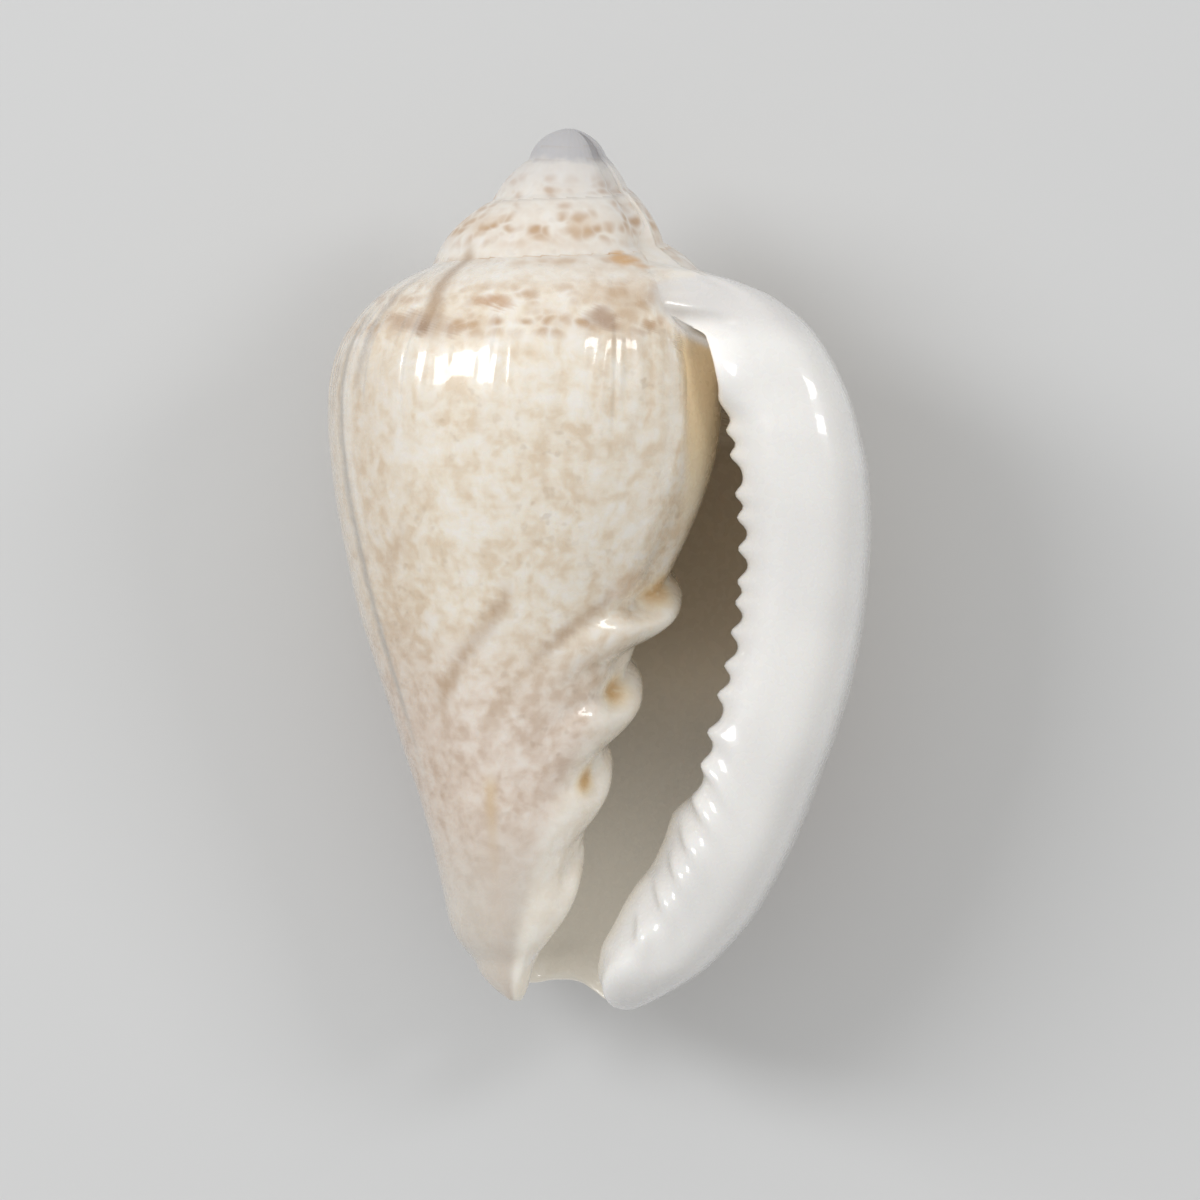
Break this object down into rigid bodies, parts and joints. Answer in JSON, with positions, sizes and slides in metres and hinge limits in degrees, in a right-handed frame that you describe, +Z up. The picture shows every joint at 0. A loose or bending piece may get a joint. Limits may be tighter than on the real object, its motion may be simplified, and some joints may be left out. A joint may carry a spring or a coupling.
{
  "type": "marginella shell",
  "caption": "Glossy marginella sea shell with a low whorled spire, a long narrow mouth, folds on the column and a thick toothed outer lip.",
  "frame": {"origin": "middle of the bounding box's bottom, under the back of the shell that it lies on", "axes": "+Y along the shell's long side towards the tip of the spire, +X towards the toothed lip, +Z up, the way the mouth faces"},
  "size_m": [0.0246, 0.04, 0.019],
  "materials": {
    "shell": "glossy natural porcelain-like shell, cream with soft tan mottling and a white lip"
  },
  "bodies": {
    "root": {"shell": "shell"}
  },
  "joints": []
}
